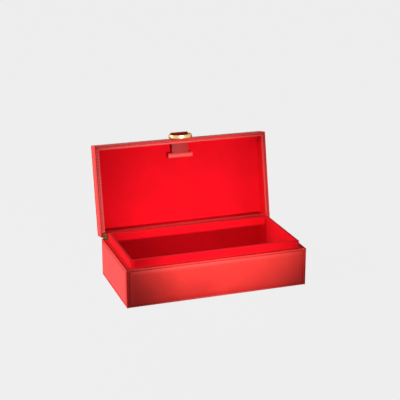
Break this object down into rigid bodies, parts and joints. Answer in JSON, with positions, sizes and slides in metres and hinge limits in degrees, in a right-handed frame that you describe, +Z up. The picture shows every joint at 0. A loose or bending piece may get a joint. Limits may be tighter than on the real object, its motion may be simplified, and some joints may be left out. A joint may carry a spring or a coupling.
{
  "type": "leather keepsake box",
  "caption": "Low rectangular keepsake box in stitched red leather, with a hinged lid, a suede-lined well inside a raised collar, and a metal pull ring on a leather strap.",
  "frame": {"origin": "centre of the underside, on the surface that the box stands on", "axes": "+X along the box to the right as seen from the front, +Y to the back where the hinge is, +Z up"},
  "size_m": [0.26, 0.1802, 0.1908],
  "materials": {
    "leather": "smooth, satin",
    "suede": "short soft nap",
    "board": "fibre board, hidden",
    "brass": "polished",
    "felt": "felt"
  },
  "bodies": {
    "base": {"base_pad": "felt", "bottom_board": "board", "front_board": "board", "back_board": "board", "left_board": "board", "right_board": "board", "front_panel": "leather", "back_panel": "leather", "left_panel": "leather", "right_panel": "leather", "ledge_lining": "suede", "collar_front": "board", "collar_back": "board", "collar_left": "board", "collar_right": "board", "well_lining_front": "suede", "well_lining_back": "suede", "well_lining_left": "suede", "well_lining_right": "suede", "floor_pad": "suede", "hinge_base_leaf": "brass", "hinge_pin": "brass", "hinge_base_screws": "brass"},
    "lid": {"lid_top_board": "board", "lid_front_board": "board", "lid_back_board": "board", "lid_left_board": "board", "lid_right_board": "board", "lid_top_panel": "leather", "lid_front_panel": "leather", "lid_back_panel": "leather", "lid_left_panel": "leather", "lid_right_panel": "leather", "lid_rim_front": "leather", "lid_rim_back": "leather", "lid_rim_left": "leather", "lid_rim_right": "leather", "lid_lining_top": "suede", "lid_lining_front": "suede", "lid_lining_back": "suede", "lid_lining_left": "suede", "lid_lining_right": "suede", "hinge_lid_leaf": "brass", "hinge_lid_screws": "brass"},
    "pull": {"pull_strap": "leather", "bar_core": "board", "bar_cover": "leather"},
    "ring": {"pull_ring": "brass"}
  },
  "joints": [
    {"name": "lid_hinge", "type": "hinge", "parent": "base", "child": "lid", "pos_m": [0, 0.0663, 0.05485], "axis": [-1, 0, 0], "range_deg": [-101.3, 0]},
    {"name": "pull_slide", "type": "slide", "parent": "lid", "child": "pull", "axis": [0, 0.1959, 0.9806], "range_m": [0, 0.013]},
    {"name": "ring_swing", "type": "hinge", "parent": "pull", "child": "ring", "pos_m": [0, 0.10547, 0.18632], "axis": [-1, 0, 0], "range_deg": [0, 165]}
  ]
}
